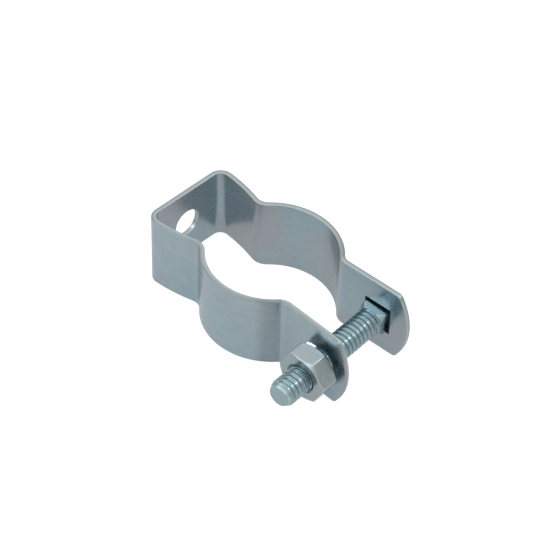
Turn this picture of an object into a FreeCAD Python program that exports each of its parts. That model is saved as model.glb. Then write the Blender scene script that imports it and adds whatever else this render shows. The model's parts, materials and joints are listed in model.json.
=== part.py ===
"""Conduit clip: a bent steel strip that holds one conduit, with its carriage bolt and hex nut.

Frame in millimetres. The origin is the centre of the mounting hole on the back plate's outer face.
+Y points out of that face, towards the wall, so the ears point to -Y. X runs along the bolt, with the
bolt's head on the +X side and the nut on the -X side. +Z is the conduit's axis, up when the clip lies
on the strip's edges.
"""
import FreeCAD
import Part

import os
from math import asin, cos, degrees, pi, radians, sin, sqrt, tan

V = FreeCAD.Vector

# Strip
strip_thickness = 1.2
strip_width = 18.4
edge_round = 0.15          # rolled edge that is left where the strip was sheared
plate_width = 24.2         # back plate, measured over the sharp corners of its outer faces
plate_bend = 2.0           # inside radius of the bend from the plate to a leg
leg_lean = 3.0             # degrees that each leg leans in where it leaves the plate's bend
leg_bow = 13.0             # degrees more that it leans in at the neck, as the leg bows outwards
leg_length = 9.85          # along the leg's inner face, between the bends
neck_bend = 2.85           # inside radius of the bend from a leg to its lobe
seat_radius = 14.8         # inside the lobes; a trade size 1 thin-wall conduit is 29.5 across
ear_bend = 2.5             # inside radius of the bend from a lobe to its ear

# Ears
ear_root_gap = 17.1        # between the inner faces where the ears leave their bends
ear_splay = 2.1            # degrees that each ear opens out from its root to its end
ear_length = 17.9          # from the root to the tip
ear_end_radius = 16.1
ear_corner = 1.2

# Holes
mount_hole = 7.1
bolt_inset = 8.3           # from the ears' tips to the middles of the square hole and the slot
neck_play = 0.94           # square hole over the bolt's square neck
neck_room = 0.24           # left beside and under the neck, where it lies in its hole
slot_play = 0.65           # slot's height over the bolt's thread
slot_run = 2.4             # slot's straight length along the ear, between its round ends
slot_room = 0.1            # left under the thread, where it lies in the slot
slot_back = 0.48           # left before the slot's outer end, where the thread lies

# Carriage bolt
thread_diameter = 6.35
thread_pitch = 1.27        # 20 turns to the inch
thread_depth = 0.74        # from the thread's crest to the core
thread_sink = 0.05         # how far the thread's ridge is let into the core
thread_lead = 0.9          # bare core at the tip, before the thread begins
thread_past_nut = 7.0      # makes the bolt about 34.1 long under its head
neck_width = 6.2
neck_depth = 3.9
neck_edge = 0.4            # rounded long edges of the square neck
neck_bevel = 0.85          # taken off the neck's front corners
neck_bevel_run = 1.3       # length of that bevel along the bolt
neck_turn = 2.5            # degrees that the neck has turned in its square hole
head_diameter = 14.7
head_height = 3.4
head_rim = 0.7             # straight edge under the dome
head_standoff = 0.3        # from the far ear to the underside of the head

# Hex nut
nut_flats = 11.1
nut_thickness = 5.1
nut_chamfer = 30.0         # degrees of the turned-off corners
nut_face_inset = 0.28      # turned faces lie this far inside the flats
nut_turn = -3.5            # degrees from a flat lying level
nut_standoff = 1.5         # from the near ear to the nut
thread_clearance = 0.05    # all round, between the bolt's thread and the nut's bore
bore_chamfer = 0.45


def ray(angle):
    """Unit vector in the XY plane at an angle in radians from +X."""
    return V(cos(angle), sin(angle), 0)


def line_edge(start, end):
    return Part.LineSegment(start, end).toShape()


def arc_edge(centre, radius, start, end):
    """Circular edge in the XY plane from one angle to another, in radians."""
    points = [centre + ray(a) * radius for a in (start, (start + end) / 2, end)]
    return Part.Arc(*points).toShape()


# Bends of the half strip on the +X side, each known by its centre and by the angles of the strip's outward
# normal at its ends. The lobe's centre is on the YZ plane, where the two tangent arcs beside it allow.
leg_normal = -radians(leg_lean)
foot_normal = leg_normal - radians(leg_bow)
leg_radius = leg_length / radians(leg_bow)
ear_normal = radians(ear_splay)
lobe_outer = seat_radius + strip_thickness

corner_y = -strip_thickness - plate_bend
corner_reach = plate_width / 2 * cos(leg_normal) - strip_thickness - plate_bend
corner_centre = V((corner_reach - corner_y * sin(leg_normal)) / cos(leg_normal), corner_y, 0)

leg_centre = corner_centre + ray(leg_normal) * (plate_bend - leg_radius)
neck_centre = leg_centre + ray(foot_normal) * (leg_radius + strip_thickness + neck_bend)
seat_y = neck_centre.y - sqrt((lobe_outer + neck_bend) ** 2 - neck_centre.x ** 2)
seat_centre = V(0, seat_y, 0)
neck_angle = asin((neck_centre.y - seat_y) / (lobe_outer + neck_bend))

ear_x = ear_root_gap / 2 + (strip_thickness + ear_bend) * cos(ear_normal)
ear_centre = V(ear_x, seat_y - sqrt((lobe_outer + ear_bend) ** 2 - ear_x ** 2), 0)
ear_angle = asin((ear_centre.y - seat_y) / (lobe_outer + ear_bend))
ear_root = ear_centre - ray(ear_normal) * (strip_thickness + ear_bend)
tip_y = ear_root.y - ear_length


def strip_edges(rise):
    """Edges of one face of the half strip, rise millimetres outside its inner face, from plate to ear."""
    corner_r = plate_bend + rise
    neck_r = neck_bend + strip_thickness - rise
    lobe_r = seat_radius + rise
    ear_r = ear_bend + strip_thickness - rise
    plate_middle = V(0, rise - strip_thickness, 0)
    ear_start = ear_centre - ray(ear_normal) * ear_r
    ear_end = ear_start + ray(ear_normal - pi / 2) * (ear_length + strip_width)
    return [
        line_edge(plate_middle, corner_centre + ray(pi / 2) * corner_r),
        arc_edge(corner_centre, corner_r, pi / 2, leg_normal),
        arc_edge(leg_centre, leg_radius + rise, leg_normal, foot_normal),
        arc_edge(neck_centre, neck_r, foot_normal + pi, neck_angle + pi),
        arc_edge(seat_centre, lobe_r, neck_angle, ear_angle),
        arc_edge(ear_centre, ear_r, ear_angle + pi, ear_normal + pi),
        line_edge(ear_start, ear_end),
    ]


def bent_strip():
    """The whole bent strip as a solid, over-wide and over-long, before its outline is cut."""
    inner = strip_edges(0)
    outer = strip_edges(strip_thickness)
    ends = [
        line_edge(inner[0].Vertexes[0].Point, outer[0].Vertexes[0].Point),
        line_edge(inner[-1].Vertexes[-1].Point, outer[-1].Vertexes[-1].Point),
    ]
    half = Part.Face(Part.Wire(Part.__sortEdges__(inner + outer + ends)))
    half = half.extrude(V(0, 0, 2 * strip_width))
    half.translate(V(0, 0, -strip_width))
    return half.fuse(half.mirror(V(0, 0, 0), V(1, 0, 0))).removeSplitter()


def outline_prism():
    """Everything within the strip's width and within the rounded ends of the ears, through all X."""
    edge = strip_width / 2
    back = plate_width
    arc_y = tip_y + ear_end_radius
    corner_z = edge - ear_corner
    corner_in = arc_y - sqrt((ear_end_radius - ear_corner) ** 2 - corner_z ** 2)
    corner = V(0, corner_in, corner_z)
    touch = V(0, corner_in - arc_y, corner_z).normalize() * ear_end_radius + V(0, arc_y, 0)
    bulge = corner + (V(0, 0, 1) + (touch - corner).normalize()).normalize() * ear_corner
    start = V(0, corner_in, edge)

    def low(point):
        return V(point.x, point.y, -point.z)

    edges = [
        line_edge(V(0, back, edge), start),
        Part.Arc(start, bulge, touch).toShape(),
        Part.Arc(touch, V(0, tip_y, 0), low(touch)).toShape(),
        Part.Arc(low(touch), low(bulge), low(start)).toShape(),
        line_edge(low(start), V(0, back, -edge)),
        line_edge(V(0, back, -edge), V(0, back, edge)),
    ]
    reach = 2 * (lobe_outer + plate_width)
    prism = Part.Face(Part.Wire(edges)).extrude(V(reach, 0, 0))
    prism.translate(V(-reach / 2, 0, 0))
    return prism


def is_rim(face):
    """True for the sheared faces of the strip, which all run square to its two broad faces."""
    if isinstance(face.Surface, Part.Plane):
        return abs(face.Surface.Axis.z) > 0.9
    return abs(face.Surface.Axis.x) > 0.9


def rolled_edges(solid):
    """The edges between the sheared faces and the broad faces."""
    uses = {}
    for face in solid.Faces:
        if is_rim(face):
            for edge in face.Edges:
                uses.setdefault(edge.hashCode(), []).append(edge)
    return [edges[0] for edges in uses.values() if len(edges) == 1]


def square_prism(width, start, end):
    """Square prism along X between two positions."""
    return Part.makeBox(end - start, width, width, V(start, -width / 2, -width / 2))


def rod(radius, start, end):
    """Cylinder along X between two positions."""
    return Part.makeCylinder(radius, end - start, V(start, 0, 0), V(1, 0, 0))


def slot_prism(height, run, start, end):
    """Slot along X between two positions: straight sides along Y for the run, and round ends."""
    middle = Part.makeBox(end - start, run, height, V(start, -run / 2, -height / 2))
    ends = [rod(height / 2, start, end).translated(V(0, y, 0)) for y in (-run / 2, run / 2)]
    return middle.fuse(ends).removeSplitter()


def cone(start_radius, end_radius, start, end):
    """Cone frustum along X between two positions."""
    return Part.makeCone(start_radius, end_radius, end - start, V(start, 0, 0), V(1, 0, 0))


def placed(shape, origin, heading, roll=0.0):
    """The shape rolled about its own X axis by degrees, then turned so that this axis runs along heading."""
    turn = FreeCAD.Rotation(V(1, 0, 0), heading)
    shape = shape.copy()
    shape.rotate(V(0, 0, 0), V(1, 0, 0), roll)
    shape.rotate(V(0, 0, 0), turn.Axis, degrees(turn.Angle))
    shape.translate(origin)
    return shape


# The bolt lies loose: it is drawn towards the plate in the far ear's square hole, towards the ear's end
# in the near ear's slot, and down in both. So it leans a little across the clip.
far_normal = ray(ear_normal)
near_normal = V(-far_normal.x, far_normal.y, 0)
hole_run = (ear_length - bolt_inset) / cos(ear_normal)
far_hole = ear_root + ray(ear_normal - pi / 2) * hole_run + far_normal * (strip_thickness / 2)
near_hole = V(-far_hole.x, far_hole.y, 0)
neck_shift = neck_play / 2 - neck_room
bolt_far = far_hole + V(0, neck_shift, -neck_shift)
bolt_near = near_hole - V(0, slot_run / 2 - slot_back, slot_play / 2 - slot_room)
bolt_heading = (bolt_far - bolt_near).normalize()


def bolt_leaves(hole, normal):
    """Where the bolt's axis comes out of an ear's outer face."""
    plane = normal.dot(hole) + strip_thickness / 2
    return bolt_near + bolt_heading * ((plane - normal.dot(bolt_near)) / normal.dot(bolt_heading))


head_seat = bolt_leaves(far_hole, far_normal) + bolt_heading * head_standoff
nut_seat = bolt_leaves(near_hole, near_normal) - bolt_heading * nut_standoff
bolt_length = (head_seat - nut_seat).Length + nut_thickness + thread_past_nut


def make_band():
    """Back plate, legs, lobes and ears, bent from one strip, with its three holes and rolled edges."""
    band = bent_strip().common(outline_prism())
    band = band.makeFillet(edge_round, rolled_edges(band))
    reach = 2 * strip_thickness
    round_punch = Part.makeCylinder(mount_hole / 2, 2 * reach, V(0, -reach, 0), V(0, 1, 0))
    square_punch = square_prism(neck_width + neck_play, -reach, reach)
    slot_punch = slot_prism(thread_diameter + slot_play, slot_run, -reach, reach)
    band = band.cut(round_punch)
    band = band.cut(placed(square_punch, far_hole, far_normal))
    return band.cut(placed(slot_punch, near_hole, near_normal))


def domed_head():
    """Round head on the +X side of the YZ plane: a straight rim under a shallow dome."""
    radius = head_diameter / 2
    rise = head_height - head_rim
    dome = (radius ** 2 + rise ** 2) / (2 * rise)
    half_way = asin(radius / dome) / 2
    crown = V(head_height, 0, 0)
    shoulder = V(head_rim, radius, 0)
    middle = V(head_height - dome + dome * cos(half_way), dome * sin(half_way), 0)
    edges = [
        line_edge(V(0, 0, 0), V(0, radius, 0)),
        line_edge(V(0, radius, 0), shoulder),
        Part.Arc(shoulder, middle, crown).toShape(),
        line_edge(crown, V(0, 0, 0)),
    ]
    return Part.Face(Part.Wire(edges)).revolve(V(0, 0, 0), V(1, 0, 0), 360)


def square_neck():
    """Square neck on the -X side of the YZ plane, its long edges rounded and its front corners bevelled."""
    neck = square_prism(neck_width, -neck_depth, 0)
    long_edges = [e for e in neck.Edges if abs(e.tangentAt(e.FirstParameter).x) > 0.9]
    neck = neck.makeFillet(neck_edge, long_edges)
    corner = neck_width / sqrt(2) - neck_edge * (sqrt(2) - 1)
    spread = neck_bevel * neck_depth / neck_bevel_run
    front = corner - neck_bevel
    return neck.common(cone(front, front + spread, -neck_depth, 0))


def thread_ridge():
    """Right-hand thread: a ridge wound round the core, from near the tip into the square neck.

    It is an eighth of the pitch wide at its flat crest and four fifths where it meets the core.
    """
    radius = thread_diameter / 2
    crest = thread_pitch / 8
    spread = (0.8 * thread_pitch - crest) / thread_depth
    foot = crest + spread * (thread_depth + thread_sink)
    inner = radius - thread_depth - thread_sink
    start = thread_lead + foot / 2 - bolt_length
    end = thread_pitch / 2 - neck_depth
    half = [(inner, foot / 2), (radius, crest / 2)]
    corners = [V(r, 0, -x) for r, x in half] + [V(r, 0, x) for r, x in half[::-1]]
    profile = Part.makePolygon(corners + corners[:1])
    helix = Part.makeHelix(thread_pitch, end - start, radius)
    ridge = Part.Wire(helix.Edges).makePipeShell([profile], True, True)
    ridge.rotate(V(0, 0, 0), V(0, 1, 0), 90)
    ridge.translate(V(start, 0, 0))
    return ridge


def make_bolt():
    """Carriage bolt: domed head, square neck and threaded shank."""
    core = rod(thread_diameter / 2 - thread_depth, -bolt_length, 0)
    shank = core.fuse(thread_ridge())
    bolt = domed_head().fuse([square_neck(), shank])
    return placed(bolt, head_seat, bolt_heading, neck_turn)


def hex_prism():
    """Hexagon across flats, from the YZ plane to -X, with two of its corners on the Y axis."""
    corner = nut_flats / sqrt(3)
    points = [V(0, corner * cos(k * pi / 3), corner * sin(k * pi / 3)) for k in range(7)]
    return Part.Face(Part.makePolygon(points)).extrude(V(-nut_thickness, 0, 0))


def make_nut():
    """Hex nut turned at both faces, its bore clear of the bolt's thread all round and countersunk."""
    face = nut_flats / 2 - nut_face_inset
    middle = -nut_thickness / 2
    wide = face + nut_thickness / 2 / tan(radians(nut_chamfer))
    turned = cone(face, wide, -nut_thickness, middle).fuse(cone(wide, face, middle, 0))
    bore = thread_diameter / 2 + thread_clearance
    mouth = bore + bore_chamfer
    nut = hex_prism().common(turned).cut(rod(bore, -nut_thickness, 0))
    nut = nut.cut(cone(bore, mouth, -bore_chamfer, 0))
    nut = nut.cut(cone(mouth, bore, -nut_thickness, bore_chamfer - nut_thickness))
    return placed(nut.removeSplitter(), nut_seat, bolt_heading, nut_turn)


pieces = {
    "clip_band": make_band(),
    "carriage_bolt": make_bolt(),
    "hex_nut": make_nut(),
}

os.makedirs("parts", exist_ok=True)
for name, shape in pieces.items():
    shape.Solids[0].exportStep("parts/" + name + ".step")
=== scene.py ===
"""Looks of a zinc-plated conduit clip: a bent strip with a carriage bolt and a hex nut through its ears."""

import json
from math import cos, radians, sin, tan

import bpy
import numpy as np
from mathutils import Matrix, Vector

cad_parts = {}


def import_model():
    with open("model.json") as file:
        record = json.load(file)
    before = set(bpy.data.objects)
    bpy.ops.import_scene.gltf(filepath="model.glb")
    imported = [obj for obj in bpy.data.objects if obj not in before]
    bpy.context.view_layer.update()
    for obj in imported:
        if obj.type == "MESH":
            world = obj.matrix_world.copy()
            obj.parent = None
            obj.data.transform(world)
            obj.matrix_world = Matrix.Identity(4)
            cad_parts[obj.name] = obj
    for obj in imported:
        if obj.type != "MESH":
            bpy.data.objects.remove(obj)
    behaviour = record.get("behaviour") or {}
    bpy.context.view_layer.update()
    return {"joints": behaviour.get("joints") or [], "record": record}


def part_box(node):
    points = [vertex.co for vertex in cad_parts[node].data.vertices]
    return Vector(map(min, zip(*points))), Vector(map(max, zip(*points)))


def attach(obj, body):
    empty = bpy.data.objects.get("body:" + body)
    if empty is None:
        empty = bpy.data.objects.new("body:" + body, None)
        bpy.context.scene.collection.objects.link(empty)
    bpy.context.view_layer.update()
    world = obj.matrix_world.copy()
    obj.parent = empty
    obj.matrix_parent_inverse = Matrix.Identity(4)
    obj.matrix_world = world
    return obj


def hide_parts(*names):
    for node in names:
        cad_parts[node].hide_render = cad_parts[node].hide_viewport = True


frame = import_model()

MM = 0.001
mounts = {mount["name"]: mount for mount in frame["record"]["mounts"]}
joints = {joint["name"]: joint for joint in frame["joints"]}
band_low, band_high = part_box("clip_band")

# Strip, as it is bent, with the radius inside each bend
strip_thickness = 1.2 * MM
half_width = band_high.z
edge_round = 0.15 * MM          # on the cut edges
punch_round = 0.07 * MM         # on the rims of the holes
plate_run = 8.7279 * MM         # flat half of the plate, up to its bend
plate_bend = 2.0 * MM
leg_lean = radians(3.0)         # where the leg leaves the plate's bend
leg_bow = radians(13.0)         # how much more it leans at the waist
leg_length = 9.85 * MM          # along its inner face
waist_bend = 2.85 * MM          # between the leg and the lobe
seat_radius = mounts["conduit_seat"]["dims"]["r_mm"] * MM
seat_y = mounts["conduit_seat"]["pos_m"][1]
ear_bend = 2.5 * MM
ear_root_gap = 17.1 * MM        # between the ears' inner faces, where they leave their bends
ear_splay = radians(2.1)
ear_length = 17.9 * MM
ear_end_radius = 16.1 * MM
ear_corner = 1.2 * MM

# Holes
mount_hole_radius = mounts["mounting_hole"]["dims"]["r_mm"] * MM
bolt_inset = 8.3 * MM           # from the ear's end to the middle of its hole or slot
slot_half_height = 3.5 * MM
slot_half_run = 1.2 * MM        # from the slot's middle to the middle of each round end
square_hole_half = 3.57 * MM

# Bolt, whose length is taken under its head
bolt_heading = np.array(joints["bolt_slide"]["axis"])
bolt_length = 34.1473 * MM
thread_radius = 3.175 * MM
thread_pitch = 1.27 * MM
thread_depth = 0.54 * MM
crest_share = 0.38              # of the pitch, flat on top
root_share = 0.22               # of the pitch, flat at the bottom
crest_height = 0.94             # mean height of the crests, as a share of the thread's depth
dent_share = 0.06               # by which dents change that height
dent_waves = ((3, 2.1), (5, -3.3))  # waves in a turn, and their drift for each pitch, in radians
run_out_turns = 0.5             # over which the grooves rise to the neck
thread_start = 0.513            # share of a turn by which the thread is turned on the bolt
thread_past_nut = 7.0 * MM
core_radius = thread_radius - thread_depth
tip_radius = 2.43 * MM
tip_bevel = 1.4 * MM            # length of the bevel that the thread runs out on
neck_half = 3.1 * MM
neck_depth = 3.9 * MM
neck_edge = 0.4 * MM            # radius of the square neck's long edges
neck_bevel = 0.85 * MM          # taken off the neck's front corners
neck_bevel_run = 1.3 * MM       # length of that bevel along the bolt
neck_turn = radians(2.5)
head_radius = 7.35 * MM
head_height = 3.4 * MM
head_rim = 0.7 * MM             # height of the head's upright rim
head_edge = 0.18 * MM           # radius of the rim's lower edge

# Nut
nut_seat = np.array(joints["nut_spin"]["pos_m"])
nut_half = 5.55 * MM            # half the width across its flats
nut_flats = 6
nut_thickness = 5.1 * MM
nut_face_inset = 0.28 * MM      # from the flats to the rim of the turned faces
nut_chamfer = radians(30)
nut_turn = radians(-3.5)
nut_crisp = 65                  # higher is sharper along the nut's edges
nut_wear_and_light = 0.06 * MM            # softening of an edge at which its wear and painted highlight are full
thread_clearance = 0.05 * MM
bore_chamfer = 0.45 * MM

# Fineness of the surfaces
side_steps = 60                 # on each side of the patch round a hole
ring_shares = np.array([0, 0.008, 0.04, 0.1, 0.18, 0.28, 0.39, 0.5, 0.61, 0.72, 0.82, 0.9, 0.96, 0.99, 1])
bend_step = radians(2.8)
run_rows = 6                    # that each run of the strip has besides its bend's
round_rows = 5                  # on each round of a cut edge
wall_rows = 9                   # between its two rounds
bolt_steps = 144                # round the bolt
thread_rows = np.concatenate([[0, 0.10], np.linspace(0.16, 0.84, 21), [0.90]])  # turns past a crest
flat_shares = np.array([0.0, 0.3, 0.6, 0.9, 0.98, 1.0])[:, None]                # of the bolt's flats
neck_rows = 31
dome_rows = 25
rim_rows = 7
nut_steps = 360                 # round the nut
nut_rows = np.concatenate([np.linspace(0, 0.16, 17), np.linspace(0.2, 0.8, 13), np.linspace(0.84, 1, 17)])
face_shares = np.array([0, 0.03, 0.25, 0.5, 0.75, 0.97, 1])[:, None]            # of the nut's turned faces
bore_rows = 16                  # for each turn of the nut's thread
weld_step = 0.0001 * MM
crease = radians(32)            # edges that turn more are shaded as edges

# Zinc finish, with the scales of its clouds for each metre
cloud_range = (0.3, 0.7)        # that most of a cloud's values lie in
film_scale = 60
film_shift = (0.09, 0.12, 0.349)  # sets where the film's clouds fall
film_range = (0.40, 0.60)       # cloud values between which the film thickens
film_share = (0.1, 1.0)
film_on_strip = (0.4, 1.0)      # on its outer and its inner face
film_on_fasteners = 0.5
bath_scale = 420
bath_shade = (0.95, 1.05)
bath_rough = (-0.05, 0.07)      # added to the metal's roughness
grain_height = 0.3              # beside the bath's clouds
bump_strength = 0.2
bump_height = 0.006 * MM
line_stretch = (70, 2600, 1)    # of the rolling lines, along and across the strip
line_shade = (0.96, 1.04)
line_height = 0.5

# Wear, and painted light and shade: the ranges that they read, and the shares or shades that they give
strip_bare = (0.5, 1.0)
# painted light: how much the grooves are lifted against the shade that falls in them
groove_light_share = (0.75, 1.0)
# wear and painted highlight along the nut's edges
corner_grain = (0.35, 0.65)
corner_bare_and_lit = (0.1, 1.0)
# crests dimmed partly for the nut's rubbing and partly as painted shade on their highlights
crest_range = (-0.9, -0.4)
crest_shade = (0.86, 1.0)
torn_rim = (0.3, 0.8)
torn_inside = (0.25, 0.5)       # torn towards the outer face and smooth towards the inner one
torn_share = (0.24, -0.04)

# Painted shade: dimmer bands across the lobes' ends, standing in for the nut and its shadow mirrored there
shade_band_past = 0.5 * MM            # how far they reach past the lobe's end
shade_band_stop = 0.4 * MM            # length over which they stop there
shade_band_full = 3.0 * MM            # length at full strength
shade_band_outside = 5.4 * MM         # whole length on the outer face
shade_band_inside = 12 * MM           # whole length on the inner face
shade_band_dim = 0.78

# Room
floor_reach = 3.0
floor_grey = 0.32               # of the lit paper, which takes the shadow
floor_glow = 0.88               # as the eye sees it
floor_mirrored = 0.46           # as metal shows it
sky_shade = (0.43, 1.0)         # at the horizon and overhead
sky_rise = 0.7                  # height, as a share of straight up, where it is brightest
lamp_aim = (0, -0.03, 0)

# Middle line of the strip's +X half, from the plate's middle to the ear's end: runs and arcs, by length and
# turn. Each arc is tangent to its neighbours, so the arcs on both sides of the lobe give the angles at
# which it starts and ends.
half_thick = strip_thickness / 2
lobe_outer = seat_radius + strip_thickness
leg_radius = leg_length / leg_bow
waist_y = (-strip_thickness - plate_bend - (plate_bend - leg_radius) * sin(leg_lean)
           - (leg_radius + strip_thickness + waist_bend) * sin(leg_lean + leg_bow))
waist_angle = np.arcsin((waist_y - seat_y) / (lobe_outer + waist_bend))
ear_x = ear_root_gap / 2 + (strip_thickness + ear_bend) * cos(ear_splay)
ear_angle = -np.arccos(ear_x / (lobe_outer + ear_bend))
plate_turn = -np.pi / 2 - leg_lean
waist_turn = waist_angle - np.pi / 2 - plate_turn + leg_bow
lobe_turn = ear_angle - waist_angle
ear_turn = ear_splay - ear_angle
run_lengths, run_turns = np.array([
    (plate_run, 0),
    ((plate_bend + half_thick) * abs(plate_turn), plate_turn),
    ((leg_radius + half_thick) * leg_bow, -leg_bow),
    ((waist_bend + half_thick) * abs(waist_turn), waist_turn),
    ((seat_radius + half_thick) * abs(lobe_turn), lobe_turn),
    ((ear_bend + half_thick) * abs(ear_turn), ear_turn),
    (ear_length / cos(ear_splay), 0),
]).T


def before(steps, first=0.0):
    """Sum of the steps that come before each one."""
    return first + np.concatenate([[0.0], np.cumsum(steps)[:-1]])


run_starts = before(run_lengths)
run_headings = before(run_turns)
run_chords = run_lengths * np.sinc(run_turns / (2 * np.pi))
run_x = before(run_chords * np.cos(run_headings + run_turns / 2))
run_y = before(run_chords * np.sin(run_headings + run_turns / 2), -half_thick)
lobe_end = run_starts[-2]
half_blank = run_lengths.sum()


def bend(flat, depth):
    """Bends places on the flat blank onto the clip. flat holds lengths along the strip from the plate's
    middle and across it. In a run of turn k a metre the heading is h + k u at length u, and the chord to
    it is u sinc(k u / 2) at the heading h + k u / 2. depth is then laid off along the outward normal, a
    quarter turn left of the heading, and the -X half is the mirror of the +X half."""
    along, across = flat[..., 0], flat[..., 1]
    gone = np.abs(along)
    run = np.clip(np.searchsorted(run_starts, gone, side="right") - 1, 0, len(run_starts) - 1)
    part = gone - run_starts[run]
    turn = run_turns[run] / run_lengths[run] * part
    chord = part * np.sinc(turn / (2 * np.pi))
    middle = run_headings[run] + turn / 2
    heading = run_headings[run] + turn
    x = run_x[run] + chord * np.cos(middle) - depth * np.sin(heading)
    y = run_y[run] + chord * np.sin(middle) + depth * np.cos(heading)
    return np.stack([np.where(along < 0, -x, x), y, across], -1)


def strip_grid(flat, depth, rim):
    """A grid of bent places with what its finish reads: lengths along and across the strip, rim, which is
    0 on the strip's faces and 1 on its cut edges, and inside, which is 1 on the inner face and 0 on the
    outer one."""
    depth = np.broadcast_to(depth, flat.shape[:-1])
    rim = np.broadcast_to(rim, flat.shape[:-1])
    inside = 0.5 - depth / strip_thickness
    return np.concatenate([bend(flat, depth), flat, rim[..., None], inside[..., None]], -1)


def edge_profile(round_off):
    """Section through a cut edge from the inner face to the outer: a quarter circle, the wall, a quarter
    circle. Gives how far each point stands out from the face's rim and its depth."""
    swing = np.linspace(0, np.pi / 2, round_rows)
    wall = np.linspace(round_off - half_thick, half_thick - round_off, wall_rows)[1:-1]
    out = np.concatenate([np.sin(swing), np.ones(len(wall)), np.cos(swing)]) * round_off
    low = round_off * (1 - np.cos(swing)) - half_thick
    depth = np.concatenate([low, wall, -low[::-1]])
    return out, depth


def edge_grid(rim_line, round_off, closed=False):
    """Carries the edge profile along a rim line that has the strip's metal on its left: each point is
    moved to the right of the line's direction, found from its neighbours, by the profile's stand-out."""
    if closed:
        ring = np.concatenate([rim_line[-2:-1], rim_line, rim_line[1:2]])
        along = np.gradient(ring, axis=0)[1:-1]
    else:
        along = np.gradient(rim_line, axis=0)
    along = along / np.linalg.norm(along, axis=-1, keepdims=True)
    right = np.stack([along[:, 1], -along[:, 0]], -1)
    out, depth = edge_profile(round_off)
    flat = rim_line + right * out[:, None, None]
    rim = np.sqrt(out / round_off)[:, None]
    return strip_grid(flat, depth[:, None], rim)


# Rays from a hole's middle through places on a square's four sides, which lie closer at its corners
face_half = half_width - edge_round
side = np.sin(np.linspace(-np.pi / 2, np.pi / 2, side_steps + 1))
quarter_turns = [np.arctan(side[:-1]) + k * np.pi / 2 for k in range(4)]
ray_angles = np.concatenate(quarter_turns + [[np.pi * 7 / 4]])
rays = np.stack([np.cos(ray_angles), np.sin(ray_angles)], -1)
square_reach = 1 / np.maximum(np.abs(rays[:, 0]), np.abs(rays[:, 1]))


def ear_reach():
    """Distance from an ear's hole to its outline along each ray: to the square's sides, or to the end arc
    where that is nearer, with the corner circle between them. The ear's end lies towards the ray at half
    a turn."""
    arc_x = ear_end_radius - bolt_inset / cos(ear_splay)
    corner_y = half_width - ear_corner
    corner_x = arc_x - np.sqrt((ear_end_radius - ear_corner) ** 2 - corner_y ** 2)

    def to_circle(x, y, radius):
        """Distance along each ray to the far side of a circle."""
        near = rays[:, 0] * x + np.abs(rays[:, 1]) * y
        return near + np.sqrt(np.maximum(near ** 2 - x ** 2 - y ** 2 + radius ** 2, 0))

    reach = np.minimum(face_half * square_reach, to_circle(arc_x, 0, ear_end_radius - edge_round))
    corner = to_circle(corner_x, corner_y, ear_corner - edge_round)
    to_corner = np.array([corner_x - arc_x, corner_y])
    tangent = to_corner * (ear_end_radius - edge_round) / (ear_end_radius - ear_corner)
    turned = np.arctan2(np.abs(rays[:, 1]), rays[:, 0])
    first = np.arctan2(face_half, corner_x)
    last = np.arctan2(tangent[1], tangent[0] + arc_x)
    return np.where((turned > first) & (turned < last), corner, reach)


def slot_reach(radius):
    """Distance from the slot's middle to its rim along each ray: to its round end, or to its straight
    side where the ray leaves through that."""
    near = np.abs(rays[:, 0]) * slot_half_run
    reach = near + np.sqrt(near ** 2 - slot_half_run ** 2 + radius ** 2)
    through_side = np.abs(rays[:, 1]) * slot_half_run >= np.abs(rays[:, 0]) * radius
    return np.divide(radius, np.abs(rays[:, 1]), out=reach, where=through_side)


def holed_patch(middle, facing, outline, rim):
    """Flat patch round a hole: straight lines from the rim's points to the outline's, divided at the
    shares in ring_shares."""
    flat = rim + (outline - rim) * ring_shares[:, None, None]
    return flat * facing + np.array([middle, 0])


def flat_run(first, last):
    """Flat patch between two holed patches, in rows that start and end with the bends and divide each of
    them."""
    stops = np.clip(np.concatenate([run_starts, [half_blank]]), first, last)
    rows = np.ceil(np.abs(run_turns) / bend_step).astype(int) + run_rows
    along = np.unique(np.concatenate(
        [np.linspace(low, high, n) for low, high, n in zip(stops[:-1], stops[1:], rows) if high > low]))
    return np.stack(np.meshgrid(along, face_half * side, indexing="ij"), -1)


def band_grids():
    """The whole strip: its inner and outer faces, bent from one flat pattern, its cut edges and its hole
    walls. A holed patch has its sides in the order of the rays. The strip goes on from the first side of
    an ear and from the first and third of the plate, and the others are cut edges."""
    plate_outline = np.concatenate([
        np.stack([np.full(side_steps, plate_run), face_half * side[:-1]], -1),
        np.stack([-plate_run * side[:-1], np.full(side_steps, face_half)], -1),
        np.stack([np.full(side_steps, -plate_run), -face_half * side[:-1]], -1),
        np.stack([plate_run * side, np.full(side_steps + 1, -face_half)], -1),
    ])
    plate_rays = plate_outline / np.linalg.norm(plate_outline, axis=-1, keepdims=True)
    ear_outline = rays * ear_reach()[:, None]
    slot = rays * slot_reach(slot_half_height + punch_round)[:, None]
    square = rays * square_reach[:, None] * (square_hole_half + punch_round)
    hole_middle = half_blank - bolt_inset / cos(ear_splay)
    plate = holed_patch(0, 1, plate_outline, plate_rays * (mount_hole_radius + punch_round))
    near_ear = holed_patch(-hole_middle, 1, ear_outline, slot)
    far_ear = holed_patch(hole_middle, -1, ear_outline, square)
    far_side = flat_run(plate_run, hole_middle - face_half)
    near_side = far_side[::-1] * np.array([-1, 1])
    faces = [plate, near_ear, far_ear, far_side, near_side]
    n = side_steps
    rims = [plate[-1, n:2 * n + 1], plate[-1, 3 * n:], near_ear[-1, n:], far_ear[-1, n:]]
    for run in (far_side, near_side):
        rims += [run[::-1, -1], run[:, 0]]
    grids = [strip_grid(face, -half_thick, 0.0) for face in faces]
    grids += [strip_grid(face[::-1], half_thick, 0.0) for face in faces]
    grids += [edge_grid(line, edge_round) for line in rims]
    grids += [edge_grid(patch[0, ::-1], punch_round, closed=True) for patch in (plate, near_ear, far_ear)]
    return grids


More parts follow.
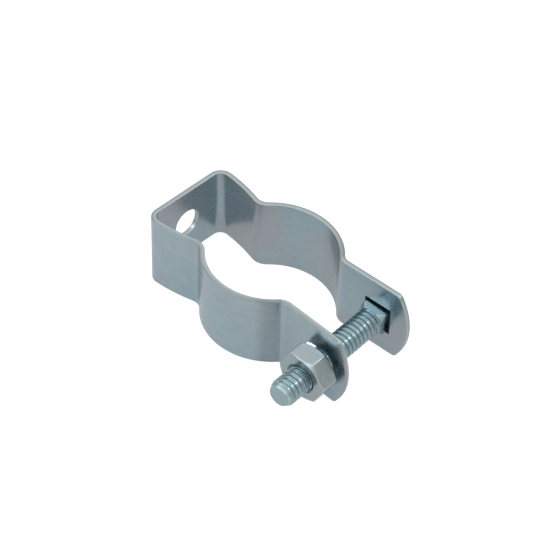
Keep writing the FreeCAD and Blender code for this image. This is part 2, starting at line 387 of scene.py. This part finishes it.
grip = bolt_length - nut_thickness - thread_past_nut
head_seat = nut_seat + bolt_heading * grip
bolt_axes = np.array(Vector((1, 0, 0)).rotation_difference(Vector(bolt_heading)).to_matrix())


def thread_height(turn):
    """Share of the thread's depth by the turns from a crest line: flanks between a flat crest and a flat
    root, straight for a third and for the rest the S-curve of 3 f^2 - 2 f^3, which eases them into
    both."""
    from_root = np.abs(2 * (turn % 1) - 1)
    flank = np.clip((from_root - root_share) / (1 - root_share - crest_share), 0, 1)
    return (flank + 2 * flank ** 2 * (3 - 2 * flank)) / 3


def round_axis(origin, along, radius, angle, *reads):
    """Turned surface: each row's distance along the bolt's axis and each place's radius, set out at its
    angle, with the values that its finish reads."""
    along, radius, angle = np.broadcast_arrays(along, radius, angle)
    local = np.stack([along, radius * np.cos(angle), radius * np.sin(angle)], -1)
    extra = [np.broadcast_to(read, along.shape)[..., None] for read in reads]
    return np.concatenate([origin + local @ bolt_axes.T] + extra, -1)


def shank_section(angle):
    """Shank with a right-hand thread. A row keeps its turns from a crest line, so it moves along by a
    pitch in each turn, and is held at the tip and the neck. The radius is the core's and the thread's
    height, which is dented by two crossed sine waves, rises to the neck and is cut off by the cone of the
    tip's bevel. Gives also how deep in the groove each place is, from -1 on a crest to 1."""
    tip = -bolt_length
    turn = (np.arange(int(tip / thread_pitch) - 3, 2)[:, None] + thread_rows).reshape(-1, 1)
    along = np.clip((turn - thread_start + angle / (2 * np.pi)) * thread_pitch, tip, -neck_depth)
    run_out = np.clip((-neck_depth - along) / (run_out_turns * thread_pitch), 0, 1)
    waves = [np.sin(count * angle + drift * along / thread_pitch) for count, drift in dent_waves]
    dents = dent_share * waves[0] * waves[1]
    height = 1 - (1 - thread_height(turn) * (crest_height + dents)) * run_out
    bevel = tip_radius + (thread_radius - tip_radius) * (along - tip) / tip_bevel
    radius = np.minimum(core_radius + thread_depth * height, bevel)
    return along, radius, (1 - 2 * height) * run_out


def neck_section(angle):
    """Square neck with rounded long edges: half the square over the cosine along its flats, and the far
    cut with the corner circle near its diagonals. A cone takes off its front corners."""
    off = (angle - neck_turn + np.pi / 4) % (np.pi / 2) - np.pi / 4
    middle = (neck_half - neck_edge) * np.sqrt(2)
    lean = np.pi / 4 - np.abs(off)
    corner = middle * np.cos(lean) + np.sqrt(np.maximum(neck_edge ** 2 - (middle * np.sin(lean)) ** 2, 0))
    on_flat = neck_half * np.abs(np.tan(off)) <= neck_half - neck_edge
    square = np.where(on_flat, neck_half / np.cos(off), corner)
    along = -neck_depth + neck_depth * np.linspace(0, 1, neck_rows)[:, None]
    diagonal = neck_half * np.sqrt(2) - neck_edge * (np.sqrt(2) - 1)
    cone = diagonal - neck_bevel + (along + neck_depth) * neck_bevel / neck_bevel_run
    return along, np.minimum(square, cone)


def bolt_grids():
    """The whole bolt as one turned surface from the middle of its tip to the crown of its head: flat tip,
    shank, square neck, flat under the head, quarter circle, upright rim, and a dome that is part of a
    sphere."""
    angle = np.linspace(2 * np.pi, 0, bolt_steps + 1)
    shank, shank_r, groove = shank_section(angle)
    neck, neck_r = neck_section(angle)
    rise = head_height - head_rim
    dome = (head_radius ** 2 + rise ** 2) / (2 * rise)
    from_crown = np.arcsin(head_radius / dome) * (1 - np.linspace(0, 1, dome_rows)[:, None])
    up_rim = np.linspace(0, 1, rim_rows)[:, None]
    swing = up_rim * np.pi / 2
    under_r = head_radius - head_edge
    sections = [
        (-bolt_length, flat_shares * tip_radius, 0.0),
        (shank, shank_r, groove),
        (-neck_depth, shank_r[-1] + (neck_r[0] - shank_r[-1]) * flat_shares, 0.0),
        (neck, neck_r, 0.0),
        (0.0, neck_r[-1] + (under_r - neck_r[-1]) * flat_shares, 0.0),
        (head_edge * (1 - np.cos(swing)), under_r + head_edge * np.sin(swing), 0.0),
        (head_edge + (head_rim - head_edge) * up_rim, head_radius, 0.0),
        (head_height - dome + dome * np.cos(from_crown), dome * np.sin(from_crown), 0.0),
    ]
    return [round_axis(head_seat, along, radius, angle, read) for along, radius, read in sections]


def side_section(angle):
    """Sides of the nut. Their radius r is a soft least of the six flats and the turned cones: 1/r to a high
    power is the sum of the same powers of cosine over half the flats and of one over the cone. Gives also
    the share of wear and painted highlight, from what that takes off the sharp edges."""
    face = nut_half - nut_face_inset
    along = -nut_thickness + nut_thickness * nut_rows[:, None]
    from_face = np.minimum(along + nut_thickness, -along)
    cone = face + from_face / tan(nut_chamfer)
    flats = (np.arange(nut_flats)[:, None] + 0.5) * 2 * np.pi / nut_flats + nut_turn
    lobes = np.maximum(np.cos(angle - flats), 0) * face / nut_half
    power = (lobes ** nut_crisp).sum(0) + (face / cone) ** nut_crisp
    radius = face * power ** (-1 / nut_crisp)
    sharp = np.minimum(face / lobes.max(0), cone)
    edge_wear_and_light = np.clip((sharp - radius) / nut_wear_and_light, 0, 1)
    return along, radius, edge_wear_and_light


def bore_section(angle):
    """Bore of the nut: the bolt's own thread and a clearance, or the 45-degree cone of each mouth where
    that is wider."""
    mouth = thread_radius + thread_clearance + bore_chamfer
    along = np.linspace(0, -nut_thickness, int(nut_thickness / thread_pitch * bore_rows) + 1)[:, None]
    turn = (along - grip) / thread_pitch - angle / (2 * np.pi) + thread_start
    threaded = core_radius + thread_depth * thread_height(turn) + thread_clearance
    return along, np.maximum(threaded, mouth - np.minimum(-along, along + nut_thickness))


def nut_grids():
    """The whole nut as one closed turned surface: front face, sides, back face and threaded bore."""
    angle = np.linspace(2 * np.pi, 0, nut_steps + 1)
    outer, outer_r, edge_wear_and_light = side_section(angle)
    bore, bore_r = bore_section(angle)
    sections = [
        (-nut_thickness, bore_r[-1] + (outer_r[0] - bore_r[-1]) * face_shares, 0.0),
        (outer, outer_r, edge_wear_and_light),
        (0.0, outer_r[-1] + (bore_r[0] - outer_r[-1]) * face_shares, 0.0),
        (bore, bore_r, 0.0),
    ]
    return [round_axis(nut_seat, along, radius, angle, read) for along, radius, read in sections]


def weld(grids):
    """Joins grids of places into one skin. Each cell of a grid is a quad, places that fall on the same
    point are made one, and cells that close up at a pole become triangles."""
    quads = []
    first = 0
    for grid in grids:
        number = first + np.arange(grid.shape[0] * grid.shape[1]).reshape(grid.shape[:2])
        corners = [number[:-1, :-1], number[1:, :-1], number[1:, 1:], number[:-1, 1:]]
        quads.append(np.stack(corners, -1).reshape(-1, 4))
        first += number.size
    places = np.concatenate([grid.reshape(-1, grid.shape[2]) for grid in grids])
    keys = np.round(places[:, :3] / weld_step).astype(np.int64)
    _, kept, number = np.unique(keys, axis=0, return_index=True, return_inverse=True)
    quads = number.reshape(-1)[np.concatenate(quads)]
    closed = quads == np.roll(quads, -1, axis=1)
    whole = ~closed.any(1)
    pole = closed.sum(1) == 1
    triangles = quads[pole][~closed[pole]].reshape(-1, 3)
    return places[kept], quads[whole].tolist() + triangles.tolist()


def make_piece(name, grids, reads, body, node, finish):
    """One welded piece in place of a CAD node, with a point attribute for each value that its finish
    reads."""
    places, faces = weld(grids)
    mesh = bpy.data.meshes.new(name)
    mesh.from_pydata(places[:, :3].tolist(), [], faces)
    mesh.polygons.foreach_set("use_smooth", np.ones(len(mesh.polygons), bool))
    for column, read in enumerate(reads, 3):
        values = mesh.attributes.new(read, "FLOAT", "POINT")
        values.data.foreach_set("value", places[:, column].astype(np.float32))
    mesh.update()
    mesh.set_sharp_from_angle(angle=crease)
    mesh.materials.append(finish)
    piece = bpy.data.objects.new(name, mesh)
    bpy.context.scene.collection.objects.link(piece)
    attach(piece, body)
    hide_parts(node)


def add_node(tree, kind, sockets, **settings):
    """Adds a shader node, sets its properties, and sets or links its sockets by name or number."""
    made = tree.nodes.new(kind)
    for key, value in settings.items():
        setattr(made, key, value)
    for key, value in sockets.items():
        if isinstance(value, bpy.types.NodeSocket):
            tree.links.new(value, made.inputs[key])
        else:
            made.inputs[key].default_value = value
    return made


def cloud(tree, vector, scale, detail, roughness=0.5, stretch=(1, 1, 1)):
    """Noise of a scale for each metre, stretched along the axes."""
    moved = add_node(tree, "ShaderNodeMapping", {"Vector": vector, "Scale": stretch}).outputs[0]
    noise = add_node(tree, "ShaderNodeTexNoise",
                     {"Vector": moved, "Scale": scale, "Detail": detail, "Roughness": roughness})
    return noise.outputs[0]


def span(tree, value, low, high, to_low, to_high):
    """Value mapped from one range to another and held at its ends."""
    return add_node(tree, "ShaderNodeMapRange", {
        "Value": value, "From Min": low, "From Max": high, "To Min": to_low, "To Max": to_high}).outputs[0]


def mixed(tree, share, first, second, blend_type="MIX"):
    """Two colours mixed by a share."""
    sockets = {0: share, 6: first, 7: second}
    return add_node(tree, "ShaderNodeMix", sockets, data_type="RGBA", blend_type=blend_type).outputs[2]


def maths(tree, operation, first, second):
    """One sum on two values."""
    return add_node(tree, "ShaderNodeMath", {0: first, 1: second}, operation=operation).outputs[0]


def times(tree, first, second):
    """One value times another."""
    return maths(tree, "MULTIPLY", first, second)


def read_value(tree, name):
    """The piece's own point value of that name."""
    return add_node(tree, "ShaderNodeAttribute", {}, attribute_name=name).outputs["Fac"]


def zinc_finish(name, cool, lilac, bare_and_lit, roughness, grain, film, wear_and_light, dulled, lines=None, wear_and_shade=None):
    """Passivated zinc: a cool grey that drifts to a lilac one, as far as film says, clouded by the bath,
    with fine grain in its height, and a second colour mixed in where the wear mask says, rougher by dulled:
    barer metal where worn, and painted light in the thread's grooves and along the nut's edges. lines adds
    marks along the metal, and the dimming mask darkens it: painted shade across the lobes' ends, duller
    torn cut edges, and thread crests dimmed partly for the nut's rubbing and partly as painted shade on
    their highlights."""
    material = bpy.data.materials.new(name)
    material.use_nodes = True
    tree = material.node_tree
    tree.nodes.clear()
    place = add_node(tree, "ShaderNodeTexCoord", {}).outputs["Object"]
    moved = add_node(tree, "ShaderNodeVectorMath", {0: place, 1: film_shift}, operation="ADD").outputs[0]
    clouds = cloud(tree, moved, film_scale, detail=2)
    bath = cloud(tree, place, bath_scale, detail=4, roughness=0.6)
    fine = cloud(tree, place, grain, detail=3, roughness=0.6)
    drift = times(tree, span(tree, clouds, *film_range, *film_share), film(tree))
    shade = span(tree, bath, *cloud_range, *bath_shade)
    height = maths(tree, "ADD", times(tree, fine, grain_height), bath)
    if lines is not None:
        drawn = lines(tree)
        shade = times(tree, shade, span(tree, drawn, *cloud_range, *line_shade))
        height = maths(tree, "ADD", height, times(tree, drawn, line_height))
    # painted shade across the lobes' ends and over the crests' highlights, with the torn edges and the
    # nut's rubbing
    if wear_and_shade is not None:
        shade = times(tree, shade, wear_and_shade(tree))
    grey = add_node(tree, "ShaderNodeCombineColor", {0: shade, 1: shade, 2: shade}).outputs[0]
    # barer metal where worn, and painted light in the thread's grooves and along the nut's edges
    edge = wear_and_light(tree, fine)
    colour = mixed(tree, edge, mixed(tree, drift, cool, lilac), bare_and_lit)
    clouded = span(tree, bath, *cloud_range, roughness + bath_rough[0], roughness + bath_rough[1])
    bump = add_node(tree, "ShaderNodeBump",
                    {"Strength": bump_strength, "Distance": bump_height, "Height": height})
    shader = add_node(tree, "ShaderNodeBsdfPrincipled", {
        "Base Color": mixed(tree, 1.0, colour, grey, "MULTIPLY"),
        "Metallic": 1.0,
        "Roughness": maths(tree, "ADD", clouded, times(tree, edge, dulled)),
        "Normal": bump.outputs[0],
    })
    add_node(tree, "ShaderNodeOutputMaterial", {"Surface": shader.outputs[0]})
    return material


def inner_film(tree):
    """Lilac film, strong on the strip's inner face and faint on its outer one."""
    return span(tree, read_value(tree, "inside"), 0.0, 1.0, *film_on_strip)


def faint_film(tree):
    """The same faint film all over."""
    return film_on_fasteners


def rolling_lines(tree):
    """Fine lines that the mill left along the strip."""
    lengths = {0: read_value(tree, "along"), 1: read_value(tree, "across")}
    flat = add_node(tree, "ShaderNodeCombineXYZ", lengths).outputs[0]
    return cloud(tree, flat, 1, detail=3, roughness=0.6, stretch=line_stretch)


def shade_bands_and_torn_edges(tree):
    """Painted shade: dimmer bands across the lobes' ends, where the metal mirrors the nut and its shadow,
    soft on the lobe's side and sharp on the ear's. Also the duller outer part of the cut edges, where the
    shear tore the strip."""
    inside = read_value(tree, "inside")
    gone = add_node(tree, "ShaderNodeMath", {0: read_value(tree, "along")}, operation="ABSOLUTE").outputs[0]
    last = lobe_end + shade_band_past
    first = span(tree, inside, 0.0, 1.0, last - shade_band_outside, last - shade_band_inside)
    darkening = span(tree, gone, first, last - shade_band_full, 1.0, shade_band_dim)
    stopping = span(tree, gone, last, last + shade_band_stop, 0.0, 1.0)
    torn = times(tree, span(tree, read_value(tree, "rim"), *torn_rim, 0.0, 1.0),
                 span(tree, inside, *torn_inside, *torn_share))
    return times(tree, maths(tree, "MAXIMUM", darkening, stopping), maths(tree, "SUBTRACT", 1.0, torn))


def strip_worn(tree, fine):
    """Bare, lighter metal on the cut edges, broken up by the grain."""
    return times(tree, read_value(tree, "rim"), span(tree, fine, *cloud_range, *strip_bare))


def groove_painted_light(tree, fine):
    """Painted light in the thread's grooves: brighter zinc there that lifts the shade falling in them,
    broken up by the grain.
    """
    kept = span(tree, read_value(tree, "groove"), 0.0, 1.0, 0.0, 1.0)
    return times(tree, kept, span(tree, fine, *cloud_range, *groove_light_share))


def crest_rubbing_and_dimming(tree):
    """Thread crests painted darker: partly dulled by the nut, partly painted shade that dims the highlights
    they mirror.
    """
    return span(tree, read_value(tree, "groove"), *crest_range, *crest_shade)


def nut_edge_wear_and_highlight(tree, fine):
    """Brighter metal along the nut's turned edges, broken up by the grain: partly wear, partly a painted
    highlight on the edges.
    """
    return times(tree, read_value(tree, "wear_and_light"), span(tree, fine, *corner_grain, *corner_bare_and_lit))


# the strip: painted shade bands across the lobes' ends, with its duller torn cut edges
strip_zinc = zinc_finish(
    "passivated_strip_zinc", cool=(0.390, 0.505, 0.555, 1), lilac=(0.428, 0.460, 0.495, 1),
    bare_and_lit=(0.42, 0.48, 0.49, 1), roughness=0.26, grain=5200, film=inner_film, wear_and_light=strip_worn, dulled=0.1,
    lines=rolling_lines, wear_and_shade=shade_bands_and_torn_edges)
# the bolt: its second colour is painted light in the grooves, and its crests are dimmed partly as painted
# shade
bolt_zinc = zinc_finish(
    "rolled_thread_zinc", cool=(0.360, 0.490, 0.530, 1), lilac=(0.40, 0.475, 0.505, 1),
    bare_and_lit=(0.50, 0.64, 0.68, 1), roughness=0.22, grain=6500, film=faint_film, wear_and_light=groove_painted_light, dulled=0.04,
    wear_and_shade=crest_rubbing_and_dimming)
# the nut: its second colour is wear and painted highlight along the edges
nut_zinc = zinc_finish(
    "turned_nut_zinc", cool=(0.390, 0.472, 0.492, 1), lilac=(0.410, 0.45, 0.47, 1),
    bare_and_lit=(0.62, 0.68, 0.69, 1), roughness=0.25, grain=6500, film=faint_film, wear_and_light=nut_edge_wear_and_highlight, dulled=0.02)

strip_reads = ("along", "across", "rim", "inside")
make_piece("bent_strip", band_grids(), strip_reads, "band", "clip_band", strip_zinc)
make_piece("threaded_bolt", bolt_grids(), ("groove",), "bolt", "carriage_bolt", bolt_zinc)
make_piece("turned_nut", nut_grids(), ("wear_and_light",), "nut", "hex_nut", nut_zinc)


def make_floor():
    """Plain white table under the strip's edges. It is lit, so that it takes the clip's shadow, and glows
    so that it is white to the eye and in reflections."""
    ends = (-floor_reach, floor_reach)
    mesh = bpy.data.meshes.new("floor")
    mesh.from_pydata([(x, y, band_low.z) for y in ends for x in ends], [], [(0, 1, 3, 2)])
    paper = bpy.data.materials.new("white_paper")
    paper.use_nodes = True
    tree = paper.node_tree
    tree.nodes.clear()
    path = add_node(tree, "ShaderNodeLightPath", {})
    mirrored = maths(tree, "MAXIMUM", path.outputs["Is Glossy Ray"], path.outputs["Is Transmission Ray"])
    seen = maths(tree, "ADD", times(tree, path.outputs["Is Camera Ray"], floor_glow),
                 times(tree, mirrored, floor_mirrored))
    lit = add_node(tree, "ShaderNodeBsdfDiffuse", {"Color": (floor_grey, floor_grey, floor_grey, 1)})
    glow = add_node(tree, "ShaderNodeEmission", {"Color": (1, 1, 1, 1), "Strength": seen})
    both = add_node(tree, "ShaderNodeAddShader", {0: lit.outputs[0], 1: glow.outputs[0]})
    add_node(tree, "ShaderNodeOutputMaterial", {"Surface": both.outputs[0]})
    mesh.materials.append(paper)
    floor = bpy.data.objects.new("floor", mesh)
    bpy.context.scene.collection.objects.link(floor)


def make_sky():
    """Soft white room: brighter overhead than at the horizon, and plain white to the eye."""
    world = bpy.data.worlds.new("soft_room")
    bpy.context.scene.world = world
    world.use_nodes = True
    tree = world.node_tree
    tree.nodes.clear()
    way = add_node(tree, "ShaderNodeTexCoord", {}).outputs["Generated"]
    height = add_node(tree, "ShaderNodeSeparateXYZ", {0: way}).outputs[2]
    bright = span(tree, height, 0.0, sky_rise, *sky_shade)
    path = add_node(tree, "ShaderNodeLightPath", {})
    seen = add_node(tree, "ShaderNodeMix", {0: path.outputs["Is Camera Ray"], 2: bright, 3: 1.0})
    back = add_node(tree, "ShaderNodeBackground", {"Color": (1, 1, 1, 1), "Strength": seen.outputs[0]})
    add_node(tree, "ShaderNodeOutputWorld", {"Surface": back.outputs[0]})


def make_lamp(name, place, size, radiance):
    """Square soft lamp, aimed at the clip: its power is its radiance times pi times its area."""
    lamp = bpy.data.lights.new(name, "AREA")
    lamp.shape = "SQUARE"
    lamp.size = size
    lamp.energy = radiance * np.pi * size ** 2
    holder = bpy.data.objects.new(name, lamp)
    holder.location = place
    holder.rotation_euler = (Vector(lamp_aim) - Vector(place)).to_track_quat("-Z", "Y").to_euler()
    bpy.context.scene.collection.objects.link(holder)


def make_camera():
    """Camera of the photograph: its direction by azimuth, height and roll, and the clip's frame set off
    from its axis."""
    pixels = 533
    focal = 2217.8                  # in those pixels
    azimuth = radians(-47.138)
    height = radians(44.082)
    roll = radians(1.711)
    across = -18.909 * MM
    down = -10.463 * MM
    away = 505.63 * MM
    back = Vector((sin(azimuth) * cos(height), -cos(azimuth) * cos(height), sin(height)))
    level = Vector((cos(azimuth), sin(azimuth), 0))
    rise = back.cross(level)
    right = level * cos(roll) + rise * sin(roll)
    up = rise * cos(roll) - level * sin(roll)
    camera = bpy.data.cameras.new("camera")
    camera.sensor_width = 36
    camera.lens = focal / pixels * camera.sensor_width
    camera.clip_start = 0.01
    holder = bpy.data.objects.new("camera", camera)
    turned = Matrix((right, up, back)).transposed().to_4x4()
    holder.matrix_world = Matrix.Translation(back * away - right * across + up * down) @ turned
    bpy.context.scene.collection.objects.link(holder)
    bpy.context.scene.camera = holder


make_floor()
make_sky()
make_lamp("front_softbox", place=(0.53, -0.54, 0.70), size=0.14, radiance=5.5)
make_lamp("left_softbox", place=(-0.95, 0.05, 0.20), size=0.40, radiance=1.3)
make_lamp("back_softbox", place=(-0.55, 0.46, 0.66), size=0.34, radiance=2.2)
make_camera()
bpy.context.scene.view_settings.view_transform = "Standard"
